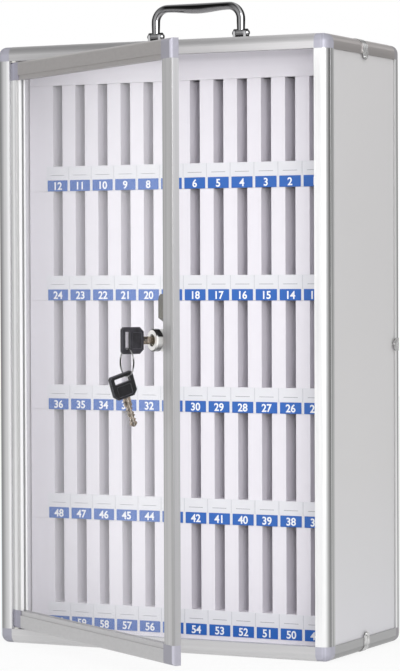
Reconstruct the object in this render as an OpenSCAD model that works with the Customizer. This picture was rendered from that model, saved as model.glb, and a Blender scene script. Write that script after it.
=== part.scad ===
// Phone locker cabinet: an edge-profile frame with plastic corners holds five panels, five shelves
// of narrow upright slots and a framed clear door with a cam lock. A folding handle sits on top.
// X runs across the width, the front faces -Y and +Z is up. The origin is on the standing surface,
// in the middle of the flat underside of the rear bottom rail.

/* [Cabinet] */
// Width of the cabinet
box_w = 400; // [385:1:480]
// Depth of the cabinet without the door's swing
box_d = 200; // [170:1:300]
// Height of the cabinet without the handle
box_h = 660; // [645:1:760]

/* [Edge profile] */
// Width of each face of the edge profile
rail_w = 16; // [15:0.5:18]
// Radius of the outer rounding along every edge
corner_r = 9; // [7:0.5:10]
// Wall of the edge profile
wall_t = 1.6; // [1.2:0.1:1.8]
// Size of the square tube in the profile's corner
tube_w = 9; // [8.5:0.5:10]
// Depth of the lip that turns in beside the door
lip_d = 8.5; // [6:0.5:8.5]
// How far each corner piece's legs reach into the profiles
leg_l = 12; // [10:1:20]

/* [Panels] */
// Thickness of the side, top, bottom and back panels
panel_t = 3; // [2:0.5:4]

/* [Slots] */
// Number of slots in each shelf
columns = 12; // [8:1:12]
// Distance from slot to slot
col_pitch = 28.6; // [24:0.1:28.8]
// Clear width of one slot
slot_w = 12; // [9:0.5:16]
// Height of the blank board above the top shelf's slots, measured from the cabinet's top
top_board_h = 39.9; // [34:0.1:60]
// Height of the label strip in front of each shelf
strip_h = 27.7; // [20:0.1:32]
// Height of the lowest label strip above the standing surface
first_strip_z = 12.9; // [10:0.1:14]
// How much lower the top shelf's slots are than the others
top_slot_less = 3.8; // [0:0.1:12]
// Distance from the cabinet's front to the face of the slots
slot_set_back = 62; // [50:1:80]
// Sheet thickness of shelves and dividers
sheet_t = 2; // [1.5:0.1:2.5]
// Thickness of the label strips
label_t = 0.6; // [0.4:0.1:1]

/* [Door] */
// How far the door stands open
door_open = 34; // [0:1:90]
// Thickness of the door's frame
door_t = 9; // [8.5:0.5:11]
// Width of the door's stiles and rails
stile_w = 20; // [18:0.5:24]
// Width of the flat outer face, in front of the lower inner bead
stile_face_w = 15; // [13:0.5:16]
// Rounding along the door's outer front edge
door_edge_r = 3; // [2:0.5:3]
// Gap between the door and the cabinet at the sides
door_gap_side = 1; // [1:0.1:2]
// Gap between the door and the cabinet above and below
door_gap_z = 1.5; // [1.2:0.1:2.5]
// Thickness of the clear pane
pane_t = 2.5; // [2:0.1:3]
// How far the pane's front lies behind the door's face
pane_set = 4.5; // [4:0.1:4.5]
// Diameter of the hinge pins
hinge_pin_d = 3; // [2.5:0.1:3.2]

/* [Lock] */
// Distance from the door's free edge to the lock's axis
lock_in = 37.5; // [37:0.5:44]
// Height of the lock's axis above the cabinet's middle
lock_above_middle = 11.5; // [-100:0.5:100]
// Diameter of the lock's bezel
bezel_d = 23; // [20:0.5:24]
// Diameter of the lock's barrel
barrel_d = 17; // [15:0.5:18]
// How far the bezel stands in front of the door's face
bezel_front = 2; // [1:0.5:4]
// Where the barrel ends, behind the door's face
barrel_end = 20.8; // [20:0.1:24]
// Diameter of the turning plug
plug_d = 11; // [10.5:0.5:12]
// Length of the cam from the lock's axis to its tip
cam_l = 46.5; // [44:0.5:47]
// Width of the cam
cam_w = 14; // [12:0.5:16]

/* [Keys] */
// Width of the key bow
bow_w = 27; // [24:0.5:30]
// Length of the key bow along the blade
bow_l = 25; // [24:0.5:30]
// Thickness of the key bow
bow_t = 4.5; // [4:0.5:6]
// Length of the blade outside the bow
blade_l = 30.5; // [28:0.5:31]
// Width of the blade
blade_w = 8; // [7:0.5:8.5]
// Thickness of the blade
blade_t = 2; // [1.6:0.1:2.4]
// Length of the ring slot in the bow
ring_slot_l = 17.6; // [15:0.2:19]
// Width of the ring slot
ring_slot_w = 5.6; // [4.8:0.1:6]
// Radius of the key ring to the middle of its wire
ring_r = 14.1; // [12:0.1:16]
// Diameter of the ring's wire
ring_wire_d = 1.6; // [1.2:0.1:1.6]
// How far the spare key hangs out of plumb
spare_tilt = 17; // [0:1:20]

/* [Handle] */
// Width over the handle's legs
handle_w = 114; // [100:1:160]
// Height of the grip's top above the cabinet
handle_h = 48; // [44:1:60]
// Thickness of the grip in its middle
grip_t = 11.5; // [9:0.5:13]
// Height of the handle's pivot above the cabinet
handle_pivot_z = 13; // [12:0.5:15]
// Diameter of the handle's pins
handle_pin_d = 4; // [3:0.5:4.5]

/* [Fittings] */
// Width of the clips at the middle of the side edges
clip_w = 14; // [10:1:18]
// Sheet thickness of the clips
clip_t = 0.8; // [0.6:0.1:1]

/* [Hidden] */
$fn = 64;

// Small clearances
panel_clear = 0.15;
leg_fit = 0.2;
seat_gap = 0.3;
run_clear = 0.05;
past = 1;

// Frame
rows = 5;
front_y = (corner_r + rail_w) / 2 - box_d;
groove_t = panel_t + 2 * panel_clear;
flange_t = 2 * wall_t + groove_t;
panel_face = wall_t + panel_clear;
panel_inner = panel_face + panel_t;
panel_edge = tube_w + 0.2;
inner_x = box_w / 2 - flange_t - seat_gap;
inner_back = box_d - flange_t - seat_gap;
leg_lo = wall_t + leg_fit;
leg_hi = tube_w - wall_t - leg_fit;
lip_inner = rail_w - wall_t - leg_fit;

// Shelves and slots, counted from the top shelf down
row_pitch = (box_h - top_board_h - first_strip_z + top_slot_less) / rows;
function strip_z(i) = first_strip_z + (rows - i) * row_pitch;
function floor_z(i) = strip_z(i) + strip_h;
function slot_top_z(i) = i == 1 ? box_h - top_board_h : strip_z(i - 1);
slot_block_w = columns * col_pitch;
divider_w = col_pitch - slot_w;
row_gap = 0.2;
shelf_upstand = 12;
clear_half = box_w / 2 - rail_w - seat_gap;
past_tube = tube_w + seat_gap;
bracket_h = 12;
bracket_t = 1.5;
bracket_end = 10;
bracket_l = box_d - rail_w - bracket_end - slot_set_back - bracket_h;
fascia_flange = 20;

// Door
door_w = box_w - 2 * (rail_w + door_gap_side);
door_z0 = rail_w + door_gap_z;
door_z1 = box_h - door_z0;
pivot_in = door_t / 2;
hinge_x = -box_w / 2 + rail_w + door_gap_side + pivot_in;
bead_step = 1.2;
door_wall = 1.5;
chamber_w = 9;
pane_slot_t = pane_t + 0.2;
pane_bite = 8;
door_leg_l = 14;
hinge_pin_in = 12;
hinge_pin_out = 6;
washer_d = 8;

// Lock
lock_x = door_w - lock_in;
lock_z = box_h / 2 + lock_above_middle;
pane_back = pane_set + pane_t;
nut_t = 3;
nut_af = 22;
keyway_end = barrel_end - 2;
tail_w = 7.6;
cam_t = 1.6;
cam_base = barrel_end + 0.1;
cam_blade_y = lip_d + 0.7;
crank_lo = 15;
crank_hi = 23;
tail_end = cam_base + cam_t - 0.1;
cam_screw_d = 3.4;

// Keys
bow_half = bow_w / 2;
bow_chamfer = 4.5;
outer_bar = 3.8;
wire_r = ring_wire_d / 2;
slot_mid = outer_bar + ring_slot_w / 2;
// The ring's wire curves across the bow's thickness, so it stands a little off the slot's end
wire_sag = ring_r - sqrt(ring_r * ring_r - bow_t * bow_t / 4);
wire_stand = wire_r + wire_sag + 0.2;
tang_l = 9;
bow_panel_w = 16;
bow_panel_edge = 2.5;
bow_in_y = keyway_end - 0.4 - blade_l;
ring_y = bow_in_y - bow_l + slot_mid;
ring_top_z = lock_z - ring_slot_l / 2 + wire_stand;
ring_bottom_z = ring_top_z - 2 * ring_r;
spare_a = outer_bar + wire_stand;
spare_b = ring_slot_l / 2 - wire_r - 0.8;

// Handle
lug_t = 3;
lug_r = 4.5;
eye_r = 4.6;
leg_foot_w = 9;
eye_l = 9.4;
pin_head_d = 7;
pin_head_t = 2;
leg_x = handle_w / 2 - leg_foot_w / 2;
lug_gap = eye_l + 2 * 0.2;
base_l = 26;
base_t = 1.5;
grip_z = box_h + handle_h;
pivot_z = box_h + handle_pivot_z;
base_z = box_h - panel_face;
screw_y = 9;

// Colours
aluminium = [0.80, 0.80, 0.81];
corner_grey = [0.68, 0.68, 0.74];
panel_grey = [0.80, 0.80, 0.80];
shelf_white = [0.93, 0.92, 0.93];
clear = [0.85, 0.90, 0.92, 0.35];
steel = [0.62, 0.62, 0.62];
nickel = [0.75, 0.73, 0.68];
zinc = [0.50, 0.48, 0.36];
bow_black = [0.10, 0.10, 0.11];
chrome = [0.72, 0.72, 0.75];

// Frames of reference: y runs back from the cabinet's front, and mirrors give the other sides
module from_front() {
    translate([0, front_y, 0]) children();
}

module at_top() {
    translate([0, 0, box_h]) mirror([0, 0, 1]) children();
}

module at_right() {
    mirror([1, 0, 0]) children();
}

module at_back() {
    translate([0, box_d, 0]) mirror([0, 1, 0]) children();
}

// The door's own frame: x from its hinge edge, y back from its face, turned about the hinge pins
module on_door() {
    from_front() translate([hinge_x, pivot_in, 0]) rotate([0, 0, -door_open])
        translate([-pivot_in, -pivot_in, 0]) children();
}

module door_top() {
    translate([0, 0, door_z0 + door_z1]) mirror([0, 0, 1]) children();
}

module door_free() {
    translate([door_w, 0, 0]) mirror([1, 0, 0]) children();
}

// The lock's frame: z runs into the cabinet along the axis
module on_lock() {
    on_door() translate([lock_x, 0, lock_z]) rotate([-90, 0, 0]) children();
}

// A square whose corner at the origin is rounded
module rounded_quadrant(size, r) {
    intersection() {
        square(size);
        union() {
            translate([r, r]) circle(r);
            translate([r, 0]) square(size);
            translate([0, r]) square(size);
        }
    }
}

// A rectangle with four rounded corners, centred
module rounded_slot(l, w, r) {
    square([l, w - 2 * r], center = true);
    square([l - 2 * r, w], center = true);
    for (x = [-1, 1], y = [-1, 1])
        translate([x * (l / 2 - r), y * (w / 2 - r)]) circle(r, $fn = 24);
}

// Edge profile: the outer skin, rounded over the edge
module profile_skin() {
    difference() {
        rounded_quadrant(rail_w, corner_r);
        translate([wall_t, wall_t]) rounded_quadrant(rail_w, corner_r - wall_t);
    }
}

// The groove that holds a panel lying along the x = 0 face
module profile_groove() {
    translate([0, tube_w - wall_t]) square([flange_t, wall_t]);
    translate([wall_t + groove_t, tube_w - wall_t]) square([wall_t, rail_w - tube_w + wall_t]);
}

// Section around the door opening: one groove, and a lip beside the door
module door_side_section() {
    profile_skin();
    profile_groove();
    translate([rail_w - wall_t, 0]) square([wall_t, lip_d]);
}

// Section between two panels: a square tube with a groove on each side
module panel_section() {
    profile_skin();
    for (swap = [0, 1])
        mirror([swap, -swap]) {
            profile_groove();
            translate([0, tube_w - wall_t]) square([tube_w, wall_t]);
        }
}

module post() {
    translate([-box_w / 2, 0, rail_w]) linear_extrude(box_h - 2 * rail_w) children();
}

module cross_rail() {
    rotate([0, -90, 0]) linear_extrude(box_w - 2 * rail_w, center = true) children();
}

module side_rail() {
    translate([-box_w / 2, box_d / 2, 0]) rotate([90, 0, 0])
        linear_extrude(box_d - 2 * rail_w, center = true) panel_section();
}

// Corner pieces: a rounded cap with legs that plug into the three profiles
module cap() {
    rest = rail_w - corner_r;
    difference() {
        union() {
            // The ball corner, one eighth of a sphere
            translate([corner_r, corner_r, corner_r]) rotate([180, 0, -90]) rotate_extrude(angle = 90)
                intersection() {
                    circle(corner_r);
                    square(corner_r);
                }
            translate([0, 0, corner_r]) linear_extrude(rest) rounded_quadrant(rail_w, corner_r);
            translate([0, rail_w, 0]) rotate([90, 0, 0])
                linear_extrude(rest) rounded_quadrant(rail_w, corner_r);
            translate([corner_r, 0, 0]) rotate([90, 0, 90])
                linear_extrude(rest) rounded_quadrant(rail_w, corner_r);
        }
        translate([leg_hi, leg_hi, leg_hi]) cube(rail_w);
    }
}

module leg_section(reach) {
    intersection() {
        translate([leg_lo, leg_lo]) square([reach - leg_lo, leg_hi - leg_lo]);
        translate([leg_lo, leg_lo]) rounded_quadrant(2 * rail_w, corner_r - leg_lo);
    }
}

// The legs start inside the cap, behind its rounding
module leg_z(reach) {
    translate([0, 0, tube_w - wall_t])
        linear_extrude(rail_w + leg_l - tube_w + wall_t) leg_section(reach);
}

module leg_x(reach) {
    multmatrix([[0, 0, 1, 0], [0, 1, 0, 0], [1, 0, 0, 0], [0, 0, 0, 1]]) leg_z(reach);
}

module leg_y() {
    multmatrix([[1, 0, 0, 0], [0, 0, 1, 0], [0, 1, 0, 0], [0, 0, 0, 1]]) leg_z(leg_hi);
}

module corner_piece(reach) {
    translate([-box_w / 2, 0, 0]) {
        cap();
        leg_z(reach);
        leg_x(reach);
        leg_y();
    }
}

// A front corner on the hinge side has the bearing hole for a hinge pin in its long leg
module hinge_corner() {
    difference() {
        corner_piece(lip_inner);
        translate([hinge_x, pivot_in, leg_hi])
            cylinder(d = hinge_pin_d + 2 * run_clear, h = rail_w);
    }
}

module front_rail(pin_side) {
    difference() {
        cross_rail() door_side_section();
        translate([hinge_x, pivot_in, tube_w]) cylinder(d = hinge_pin_d + 1.6, h = rail_w);
    }
}

module front_post_left() {
    color(aluminium) from_front() post() door_side_section();
}

module front_post_right() {
    color(aluminium) from_front() at_right() post() door_side_section();
}

module front_rail_top() {
    color(aluminium) from_front() at_top() front_rail();
}

module front_rail_bottom() {
    color(aluminium) from_front() front_rail();
}

module rear_post_left() {
    color(aluminium) from_front() at_back() post() panel_section();
}

module rear_post_right() {
    color(aluminium) from_front() at_right() at_back() post() panel_section();
}

module rear_rail_top() {
    color(aluminium) from_front() at_top() at_back() cross_rail() panel_section();
}

module rear_rail_bottom() {
    color(aluminium) from_front() at_back() cross_rail() panel_section();
}

module side_rails_left() {
    color(aluminium) from_front() {
        side_rail();
        at_top() side_rail();
    }
}

module side_rails_right() {
    color(aluminium) from_front() at_right() {
        side_rail();
        at_top() side_rail();
    }
}

module front_corner_top_left() {
    color(corner_grey) from_front() at_top() hinge_corner();
}

module front_corner_bottom_left() {
    color(corner_grey) from_front() hinge_corner();
}

module front_corner_top_right() {
    color(corner_grey) from_front() at_right() at_top() corner_piece(lip_inner);
}

module front_corner_bottom_right() {
    color(corner_grey) from_front() at_right() corner_piece(lip_inner);
}

module rear_corners() {
    color(corner_grey) from_front() at_back()
        for (right = [0, 1], top = [0, 1])
            mirror([right, 0, 0]) translate([0, 0, top * box_h]) mirror([0, 0, top])
                corner_piece(leg_hi);
}

// A panel's plate, with its corners cut back for the corner pieces
module panel_plate(w, h) {
    notch = rail_w + seat_gap - panel_edge;
    linear_extrude(panel_t) difference() {
        square([w, h], center = true);
        for (x = [-1, 1], y = [-1, 1])
            translate([x * w / 2, y * h / 2]) square(2 * notch, center = true);
    }
}

module side_panel() {
    translate([-box_w / 2 + panel_face, box_d / 2, box_h / 2]) rotate([90, 0, 90])
        panel_plate(box_d - 2 * panel_edge, box_h - 2 * panel_edge);
}

module floor_panel() {
    translate([0, box_d / 2, panel_face])
        panel_plate(box_w - 2 * panel_edge, box_d - 2 * panel_edge);
}

module side_panel_left() {
    color(panel_grey) from_front() side_panel();
}

module side_panel_right() {
    color(panel_grey) from_front() at_right() side_panel();
}

module top_panel() {
    color(panel_grey) from_front() at_top() floor_panel();
}

module bottom_panel() {
    color(panel_grey) from_front() floor_panel();
}

module back_panel() {
    color(panel_grey) from_front() translate([0, box_d - panel_face, box_h / 2]) rotate([90, 0, 0])
        panel_plate(box_w - 2 * panel_edge, box_h - 2 * panel_edge);
}

// Shelves: a floor, a front that carries the labels, and a low upstand at the back. The back is
// narrower, to pass the rear posts' tubes, and the lowest front goes down to the bottom panel
module shelf(i) {
    lowest = i == rows;
    front_z = lowest ? past_tube : strip_z(i);
    back_half = box_w / 2 - past_tube;
    color(shelf_white) from_front() {
        translate([-inner_x, slot_set_back, floor_z(i) - sheet_t])
            cube([2 * inner_x, box_d - past_tube - slot_set_back, sheet_t]);
        translate([-back_half, slot_set_back, floor_z(i) - sheet_t])
            cube([2 * back_half, inner_back - slot_set_back, sheet_t]);
        translate([-inner_x, slot_set_back, front_z])
            cube([2 * inner_x, sheet_t, floor_z(i) - front_z]);
        if (lowest) translate([-clear_half, slot_set_back, panel_inner])
            cube([2 * clear_half, sheet_t, floor_z(i) - panel_inner]);
        translate([-back_half, inner_back - sheet_t, floor_z(i) - sheet_t])
            cube([2 * back_half, sheet_t, shelf_upstand]);
    }
}

// One divider: a channel with a closed front and open back that stands between two slots
module divider(w, h, depth) {
    difference() {
        cube([w, depth, h]);
        translate([sheet_t, sheet_t, -past]) cube([w - 2 * sheet_t, depth, h + 2 * past]);
    }
}

module dividers(i) {
    h = slot_top_z(i) - floor_z(i) - row_gap;
    depth = min(inner_back - sheet_t, box_d - tube_w) - seat_gap - slot_set_back;
    first_x = -slot_block_w / 2 + divider_w / 2;
    end_w = first_x + inner_x;
    color(shelf_white) from_front() translate([0, slot_set_back, floor_z(i)]) {
        for (c = [1:columns - 1])
            translate([-slot_block_w / 2 + c * col_pitch - divider_w / 2, 0, 0])
                divider(divider_w, h, depth);
        for (side = [0, 1]) mirror([side, 0, 0])
            translate([-inner_x, 0, 0]) divider(end_w, h, depth);
    }
}

module shelf_1() {
    shelf(1);
}

module shelf_2() {
    shelf(2);
}

module shelf_3() {
    shelf(3);
}

module shelf_4() {
    shelf(4);
}

module shelf_5() {
    shelf(5);
}

module dividers_1() {
    dividers(1);
}

module dividers_2() {
    dividers(2);
}

module dividers_3() {
    dividers(3);
}

module dividers_4() {
    dividers(4);
}

module dividers_5() {
    dividers(5);
}

// Label strips, one in front of each shelf
module label_strips() {
    color("white") from_front()
        for (i = [1:rows])
            translate([-slot_block_w / 2, slot_set_back - label_t, strip_z(i)])
                cube([slot_block_w, label_t, strip_h]);
}

// The blank board above the top shelf's slots, hung from the top panel by its flange
module top_fascia() {
    fascia_z = slot_top_z(1);
    ceiling = box_h - panel_inner;
    color(shelf_white) from_front() {
        translate([-inner_x, slot_set_back, fascia_z])
            cube([2 * inner_x, sheet_t, box_h - past_tube - fascia_z]);
        translate([-clear_half, slot_set_back, fascia_z])
            cube([2 * clear_half, sheet_t, ceiling - fascia_z]);
        translate([-clear_half, slot_set_back, ceiling - sheet_t])
            cube([2 * clear_half, fascia_flange, sheet_t]);
    }
}

// Angles on the side panels that carry the shelves
module shelf_brackets() {
    wall_x = box_w / 2 - panel_inner;
    reach = wall_x - inner_x + bracket_h;
    color(steel) from_front()
        for (i = [1:rows], side = [0, 1])
            mirror([side, 0, 0]) translate([wall_x, slot_set_back + bracket_h, floor_z(i) - sheet_t])
                mirror([1, 0, 0]) mirror([0, 0, 1]) {
                    cube([reach, bracket_l, bracket_t]);
                    cube([bracket_t, bracket_l, bracket_h]);
                }
}

// Clips that wrap the side panels' edges at their middles, each with a rivet to the panel
clip_reach = 22;
clip_over = 14;
clip_gap = 0.1;
rivet_in = 18.8;
rivet_d = 4;

module clip() {
    // The strap's section follows the profile's rounding
    module strap() {
        difference() {
            translate([-clip_t, -clip_t]) rounded_quadrant(clip_reach + clip_t, corner_r + clip_t);
            translate([-clip_gap, -clip_gap])
                rounded_quadrant(clip_reach + past, corner_r + clip_gap);
            translate([clip_over, -2 * clip_t]) square([clip_reach, 3 * clip_t]);
        }
    }
    module outline() {
        translate([-clip_w / 2, -past]) square([clip_w, clip_reach - clip_w / 2 + past]);
        translate([0, clip_reach - clip_w / 2]) circle(d = clip_w);
    }
    intersection() {
        rotate([90, 0, 0]) linear_extrude(clip_w, center = true) strap();
        translate([-past, 0, 0]) rotate([90, 0, 90]) linear_extrude(clip_reach) outline();
    }
    translate([-clip_t - 1, 0, rivet_in]) rotate([0, 90, 0])
        cylinder(d = rivet_d, h = 1 + clip_t + panel_face);
}

module edge_clips() {
    color(steel) from_front()
        for (side = [0, 1]) mirror([side, 0, 0]) {
            translate([-box_w / 2, box_d / 2, box_h]) mirror([0, 0, 1]) clip();
            translate([-box_w / 2, box_d, box_h / 2]) rotate([90, 0, 0]) clip();
            // The lower clip stops short of the surface that the cabinet stands on
            intersection() {
                translate([-box_w / 2, box_d / 2, 0]) clip();
                translate([-box_w / 2, box_d / 2, corner_r + wall_t])
                    cube([2 * corner_r, 2 * clip_w, 2 * corner_r + 2 * clip_reach], center = true);
                translate([-box_w, 0, seat_gap]) cube([2 * box_w, box_d, box_h]);
            }
        }
}

// Door frame section: x from the door's edge inwards, y back from its face
module stile_section() {
    difference() {
        union() {
            translate([door_edge_r, door_edge_r]) circle(door_edge_r);
            translate([door_edge_r, 0]) square([stile_w - door_edge_r, door_t]);
            translate([0, door_edge_r]) square([stile_w, door_t - door_edge_r]);
        }
        translate([stile_face_w, -past]) square([stile_w, bead_step + past]);
        translate([stile_w - pane_bite, pane_set]) square([pane_bite + past, pane_slot_t]);
        translate([door_wall, door_wall]) square([chamber_w, door_t - 2 * door_wall]);
    }
}

module door_stile() {
    translate([0, 0, door_z0 + stile_w])
        linear_extrude(door_z1 - door_z0 - 2 * stile_w) stile_section();
}

module door_rail() {
    translate([door_w / 2, 0, door_z0]) rotate([0, -90, 0])
        linear_extrude(door_w - 2 * stile_w, center = true) stile_section();
}

// Door corner: a cap with both outer front edges rounded, and two legs for the hollow frame pieces
module door_cap() {
    module edge_outline() {
        translate([door_edge_r, door_edge_r]) circle(door_edge_r);
        translate([door_edge_r, 0]) square([stile_w - door_edge_r, door_t]);
        translate([0, door_edge_r]) square([stile_w, door_t - door_edge_r]);
    }
    module leg() {
        translate([door_wall + leg_fit, door_wall + leg_fit])
            square([chamber_w - 2 * leg_fit, door_t - 2 * (door_wall + leg_fit)]);
    }
    translate([0, 0, door_z0]) {
        difference() {
            intersection() {
                linear_extrude(stile_w) edge_outline();
                translate([stile_w, 0, 0]) rotate([0, -90, 0]) linear_extrude(stile_w) edge_outline();
            }
            translate([stile_w - pane_bite, pane_set, stile_w - pane_bite])
                cube([stile_w, pane_slot_t, stile_w]);
        }
        translate([0, 0, stile_w - past]) linear_extrude(door_leg_l + past) leg();
        translate([stile_w + door_leg_l, 0, 0]) rotate([0, -90, 0])
            linear_extrude(door_leg_l + past) leg();
    }
}

module door_hinge_cap() {
    difference() {
        door_cap();
        translate([pivot_in, pivot_in, door_z0 - past])
            cylinder(d = hinge_pin_d, h = hinge_pin_in + past);
    }
}

module door_hinge_stile() {
    color(aluminium) on_door() door_stile();
}

module door_free_stile() {
    color(aluminium) on_door() door_free() door_stile();
}

module door_top_rail() {
    color(aluminium) on_door() door_top() door_rail();
}

module door_bottom_rail() {
    color(aluminium) on_door() door_rail();
}

module door_corner_top_hinge() {
    color(corner_grey) on_door() door_top() door_hinge_cap();
}

module door_corner_bottom_hinge() {
    color(corner_grey) on_door() door_hinge_cap();
}

module door_corners_free() {
    color(corner_grey) on_door() door_free() {
        door_cap();
        door_top() door_cap();
    }
}

module door_pane() {
    edge = stile_w - pane_bite + 0.2;
    color(clear) on_door() difference() {
        translate([edge, pane_set + 0.1, door_z0 + edge])
            cube([door_w - 2 * edge, pane_t, door_z1 - door_z0 - 2 * edge]);
        translate([lock_x, 0, lock_z]) rotate([-90, 0, 0])
            cylinder(d = barrel_d + 0.3, h = 2 * door_t);
    }
}

// Hinge pins: fixed in the door's corners, turning in the cabinet's corners
module hinge_pins() {
    module pin() {
        translate([pivot_in, pivot_in, door_z0 - door_gap_z - hinge_pin_out])
            cylinder(d = hinge_pin_d, h = door_gap_z + hinge_pin_out + hinge_pin_in);
    }
    color(steel) on_door() {
        pin();
        door_top() pin();
    }
}

// Washers on the pins carry the door and set its gap
module hinge_washers() {
    module washer() {
        translate([pivot_in, pivot_in, door_z0 - door_gap_z + 0.1]) difference() {
            cylinder(d = washer_d, h = door_gap_z - 0.1);
            translate([0, 0, -past])
                cylinder(d = hinge_pin_d + 2 * run_clear, h = door_gap_z + 2 * past);
        }
    }
    color("white") on_door() {
        washer();
        door_top() washer();
    }
}

// Lock body: a bezel drum in front of the pane and a barrel through it
module lock_body() {
    edge = 1.2;
    mouth = plug_d / 2 + run_clear;
    color(nickel) on_lock() rotate_extrude()
        polygon([
            [mouth, -bezel_front + 0.6], [mouth + 0.8, -bezel_front],
            [bezel_d / 2 - edge, -bezel_front], [bezel_d / 2, -bezel_front + edge],
            [bezel_d / 2, pane_set], [barrel_d / 2, pane_set],
            [barrel_d / 2, barrel_end], [mouth, barrel_end]
        ]);
}

module lock_nut() {
    color(nickel) on_lock() translate([0, 0, pane_back + 0.15]) difference() {
        cylinder(d = nut_af / cos(30), h = nut_t, $fn = 6);
        translate([0, 0, -past]) cylinder(d = barrel_d + 0.1, h = nut_t + 2 * past);
    }
}

module lock_plug() {
    color(nickel) on_lock() difference() {
        union() {
            translate([0, 0, -bezel_front + 0.6])
                cylinder(d = plug_d, h = barrel_end + bezel_front - 0.6);
            translate([-tail_w / 2, -tail_w / 2, barrel_end - past])
                cube([tail_w, tail_w, tail_end - barrel_end + past]);
        }
        translate([-blade_t / 2 - 0.1, -blade_w / 2 - 0.2, -bezel_front])
            cube([blade_t + 0.2, blade_w + 0.4, bezel_front + keyway_end]);
        translate([0, 0, keyway_end + 0.3]) cylinder(d = cam_screw_d + 0.1, h = door_t);
    }
}

// Cam: a cranked strip on the plug's square tail, pointing up while the lock is open
module lock_cam() {
    module side_view() {
        back = cam_base + cam_t;
        polygon([
            [cam_base, -cam_w / 2], [back, -cam_w / 2], [back, crank_lo],
            [cam_blade_y + cam_t, crank_hi], [cam_blade_y + cam_t, cam_l],
            [cam_blade_y, cam_l], [cam_blade_y, crank_hi - cam_t / 2],
            [cam_base, crank_lo - cam_t / 2]
        ]);
    }
    module outline() {
        circle(d = cam_w);
        translate([-cam_w / 2, 0]) square([cam_w, cam_l - cam_w / 2]);
        translate([0, cam_l - cam_w / 2]) circle(d = cam_w);
    }
    color(zinc) on_door() translate([lock_x, 0, lock_z]) difference() {
        intersection() {
            rotate([90, 0, 90]) linear_extrude(cam_w + past, center = true) side_view();
            translate([0, 2 * door_t + cam_l, 0]) rotate([90, 0, 0])
                linear_extrude(2 * door_t + cam_l) outline();
        }
        translate([-tail_w / 2 - 0.05, 0, -tail_w / 2 - 0.05])
            cube([tail_w + 0.1, 2 * barrel_end, tail_w + 0.1]);
    }
}

module cam_screw() {
    head_d = 9.5;
    head_h = 2.2;
    color(nickel) on_lock() {
        translate([0, 0, keyway_end + 0.5])
            cylinder(d = cam_screw_d, h = cam_base + cam_t - keyway_end - 0.4);
        translate([0, 0, cam_base + cam_t]) difference() {
            cylinder(d1 = head_d, d2 = head_d - 2, h = head_h);
            translate([-head_d, -0.5, head_h - 1]) cube([2 * head_d, 1, head_h]);
        }
    }
}

// A key lies along x: its bow from 0 to bow_l, its blade beyond, its thickness along z
module key_frame_in_lock() {
    on_door() translate([lock_x, bow_in_y - bow_l, lock_z]) rotate([90, 0, 90]) children();
}

module key_frame_spare() {
    on_door() translate([lock_x, ring_y, ring_bottom_z]) rotate([spare_tilt - 90, 0, 0])
        rotate([90, 0, 90]) translate([-spare_a, -spare_b, 0]) children();
}

module bow_outline(inset) {
    c = bow_chamfer;
    h = bow_half - inset;
    polygon([
        [inset + c / 2, -h], [bow_l - inset - c, -h], [bow_l - inset, -h + c],
        [bow_l - inset, h - c], [bow_l - inset - c, h], [inset + c / 2, h],
        [inset, h - c / 2], [inset, -h + c / 2]
    ]);
}

// Bow: a thick plastic plate with bevelled edges, a ring slot and a sunk panel on each face
module bow() {
    bevel = 0.7;
    panel_l = bow_l - slot_mid - ring_slot_w / 2 - 2 * bow_panel_edge;
    difference() {
        union() {
            linear_extrude(bow_t, center = true) bow_outline(bevel);
            linear_extrude(bow_t - 2 * bevel, center = true) bow_outline(0);
        }
        translate([slot_mid, 0, 0]) linear_extrude(2 * bow_t, center = true)
            rounded_slot(ring_slot_w, ring_slot_l, 0.6);
        for (side = [0, 1]) mirror([0, 0, side])
            translate([bow_l - bow_panel_edge - panel_l / 2, 0, bow_t / 2 - 0.5])
                linear_extrude(bow_t) rounded_slot(panel_l, bow_panel_w, 1);
        translate([bow_l - tang_l, -blade_w / 2 - 0.05, -blade_t / 2 - 0.05])
            cube([tang_l + past, blade_w + 0.1, blade_t + 0.1]);
    }
}

// Blade: a flat strip with a pointed tip, cuts along both edges and a groove along each face
module blade() {
    cuts = [1.3, 2.1, 0.9, 1.7, 1.2];
    step = 3.6;
    tip = bow_l + blade_l;
    first = tip - 4 - step * len(cuts);
    difference() {
        translate([0, 0, -blade_t / 2]) linear_extrude(blade_t) difference() {
            polygon([
                [bow_l - tang_l + 0.1, -blade_w / 2], [tip - 2.5, -blade_w / 2], [tip, -1],
                [tip, 1], [tip - 2.5, blade_w / 2], [bow_l - tang_l + 0.1, blade_w / 2]
            ]);
            for (i = [0:len(cuts) - 1], side = [-1, 1]) {
                x = first + step * (i + 0.5);
                depth = side > 0 ? cuts[i] : cuts[len(cuts) - 1 - i];
                translate([x, side * blade_w / 2]) polygon([
                    [-0.5 - depth, side * 0.2], [-0.5, -side * depth],
                    [0.5, -side * depth], [0.5 + depth, side * 0.2]
                ]);
            }
        }
        for (side = [-1, 1])
            translate([bow_l + 1, -0.6, side * (blade_t / 2) - 0.3]) cube([blade_l, 1.2, 0.6]);
    }
}

module key_blade() {
    color(nickel) key_frame_in_lock() blade();
}

module key_bow() {
    color(bow_black) key_frame_in_lock() bow();
}

module key_ring() {
    color(steel) on_door() translate([lock_x, ring_y, ring_top_z - ring_r]) rotate([90, 0, 0])
        rotate_extrude() translate([ring_r, 0]) circle(wire_r, $fn = 24);
}

module spare_key_blade() {
    color(nickel) key_frame_spare() blade();
}

module spare_key_bow() {
    color(bow_black) key_frame_spare() bow();
}

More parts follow.
